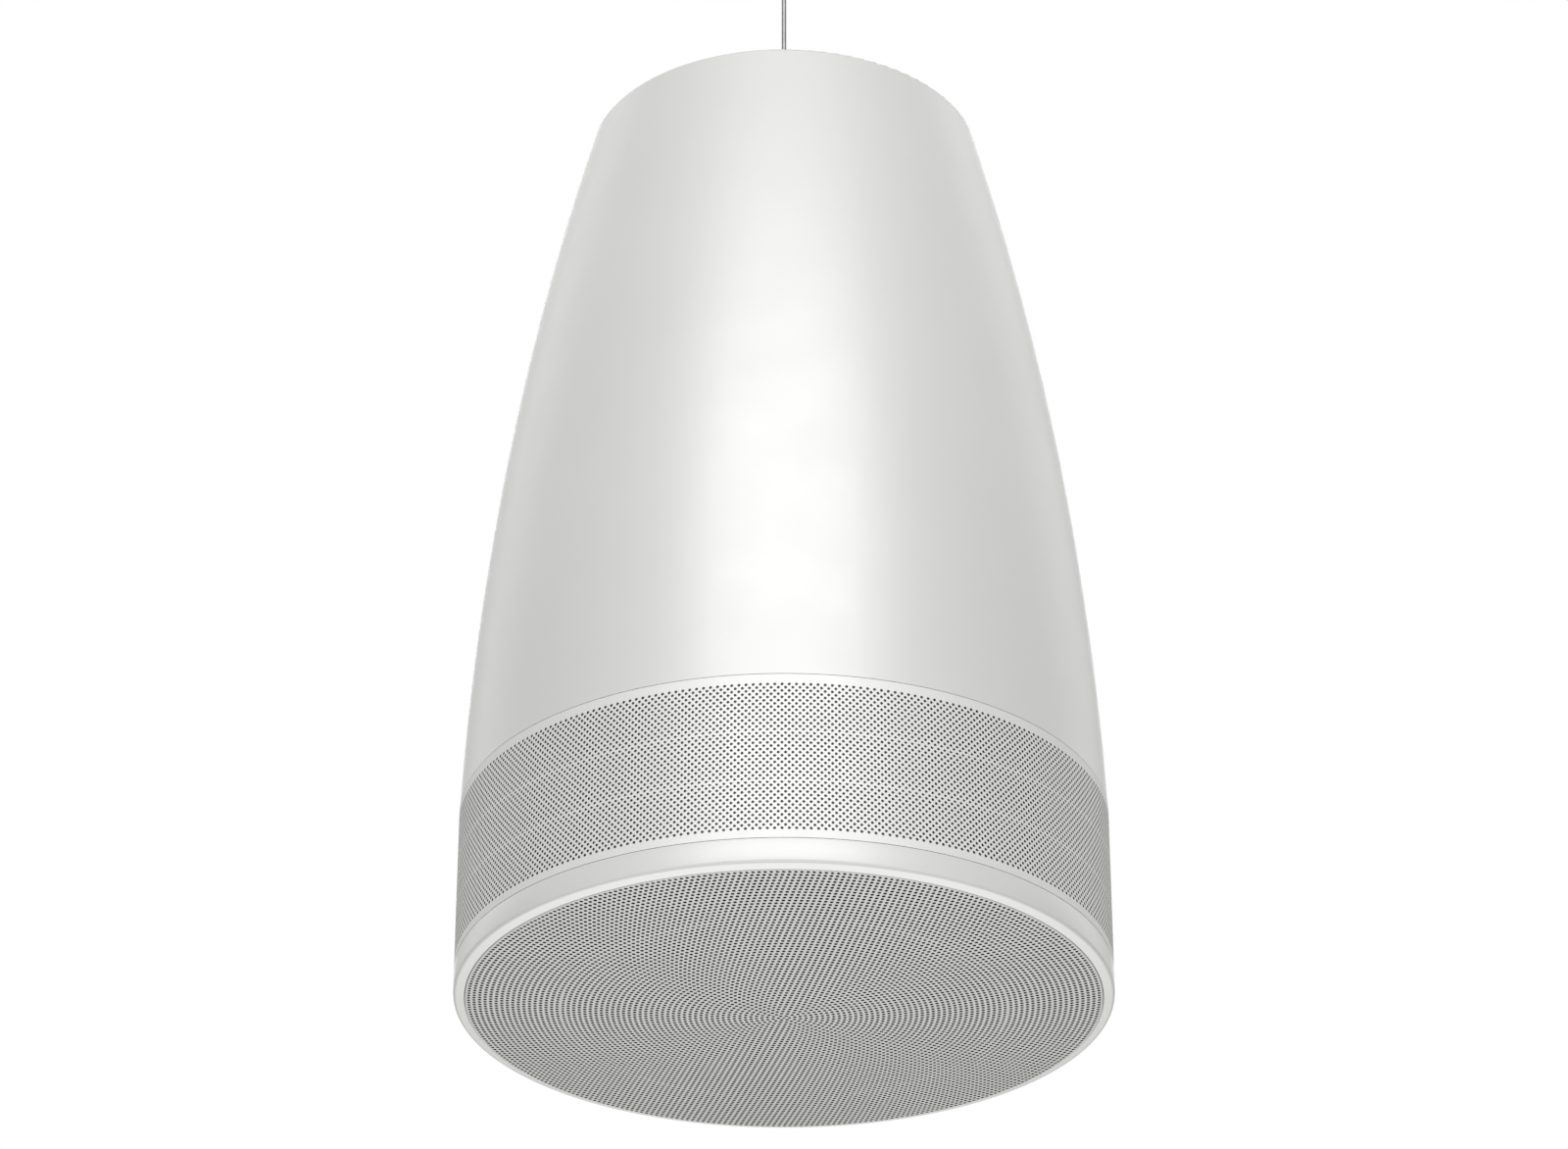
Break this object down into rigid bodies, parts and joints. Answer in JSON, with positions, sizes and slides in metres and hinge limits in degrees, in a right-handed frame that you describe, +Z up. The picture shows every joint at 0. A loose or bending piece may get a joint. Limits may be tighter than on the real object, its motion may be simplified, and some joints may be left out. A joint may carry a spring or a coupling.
{
  "type": "pendant speaker",
  "caption": "White bullet-shaped pendant speaker on a steel cable, with a domed round grille below and a perforated side band",
  "frame": {"origin": "centre of the ceiling anchor's upper face, which bears on the ceiling", "axes": "+Z up along the suspension cable and the speaker's axis; the woofer fires towards -Z; the input terminals are on the -Y side of the top panel"},
  "size_m": [0.32, 0.32, 0.6521],
  "materials": {
    "white_shell": "satin white moulding",
    "white_grille": "powder-coated perforated steel",
    "grey_cloth": "acoustic grille cloth",
    "black_moulding": "fine-grained black moulding",
    "gasket_foam": "closed-cell foam",
    "plated_screw": "zinc plated",
    "black_basket": "black paint on pressed steel",
    "motor_steel": "zinc-plated low-carbon steel",
    "ferrite": "sintered ferrite",
    "paper_cone": "pressed paper pulp",
    "black_rubber": "butyl rubber",
    "spider_cloth": "resin-treated cotton",
    "coil_paper": "aramid paper",
    "copper_wire": "enamelled copper",
    "tweeter_steel": "plated steel and magnet",
    "silk_dome": "coated silk",
    "tweeter_trim": "black moulding",
    "wadding": "polyester wadding",
    "white_panel": "white moulding",
    "zinc_plate": "zinc-plated sheet steel",
    "stainless": "turned stainless steel",
    "wire_rope": "seven-strand steel wire rope",
    "nickel": "nickel-plated brass",
    "dial_print": "white dial with printed marks",
    "knob_black": "black moulding",
    "shaft_steel": "turned steel",
    "core_steel": "stacked silicon steel",
    "green_board": "solder-masked fibreglass",
    "capacitor_sleeve": "sleeved film capacitor"
  },
  "bodies": {
    "speaker": {"enclosure_shell": "white_shell", "lower_bezel": "white_shell", "side_grille": "white_grille", "bottom_grille": "white_grille", "side_cloth": "grey_cloth", "bottom_cloth": "grey_cloth", "driver_can": "black_moulding", "port_ring": "black_moulding", "terminal_block": "black_moulding", "terminal_cover": "black_moulding", "selector_switch": "black_moulding", "tweeter_housing": "black_moulding", "cable_gland": "black_moulding", "gland_nut": "black_moulding", "joint_gasket": "gasket_foam", "woofer_gasket": "gasket_foam", "panel_gasket": "gasket_foam", "joint_screws": "plated_screw", "woofer_screws": "plated_screw", "panel_screws": "plated_screw", "plate_bolts": "plated_screw", "plate_nuts": "plated_screw", "cover_screws": "plated_screw", "terminal_screws": "plated_screw", "lug_bolt": "plated_screw", "board_standoffs": "plated_screw", "woofer_basket": "black_basket", "woofer_top_plate": "motor_steel", "woofer_pole_piece": "motor_steel", "tweeter_post": "motor_steel", "woofer_magnet": "ferrite", "woofer_surround": "black_rubber", "woofer_spider": "spider_cloth", "crossover_chokes": "copper_wire", "transformer_winding": "copper_wire", "tweeter_motor": "tweeter_steel", "tweeter_diaphragm": "silk_dome", "tweeter_ring": "tweeter_trim", "damping_lining": "wadding", "top_panel": "white_panel", "mounting_plate": "zinc_plate", "transformer_strap": "zinc_plate", "safety_lug": "zinc_plate", "cable_socket": "stainless", "socket_washer": "stainless", "socket_nut": "stainless", "suspension_cable": "wire_rope", "cable_coupler": "nickel", "ceiling_anchor": "nickel", "selector_dial": "dial_print", "transformer_core": "core_steel", "crossover_board": "green_board", "crossover_capacitors": "capacitor_sleeve"},
    "cone": {"woofer_cone": "paper_cone", "coil_former": "coil_paper", "coil_winding": "copper_wire"},
    "selector": {"selector_knob": "knob_black", "selector_shaft": "shaft_steel"}
  },
  "joints": [
    {"name": "cone_travel", "type": "slide", "parent": "speaker", "child": "cone", "axis": [0, 0, 1], "range_m": [-0.006, 0.006], "stiffness_N_per_m": 2000, "deforming": ["woofer_surround", "woofer_spider"]},
    {"name": "selector_turn", "type": "hinge", "parent": "speaker", "child": "selector", "pos_m": [0.062, 0, -0.1686], "axis": [0, 0, 1], "range_deg": [-150, 0]}
  ]
}
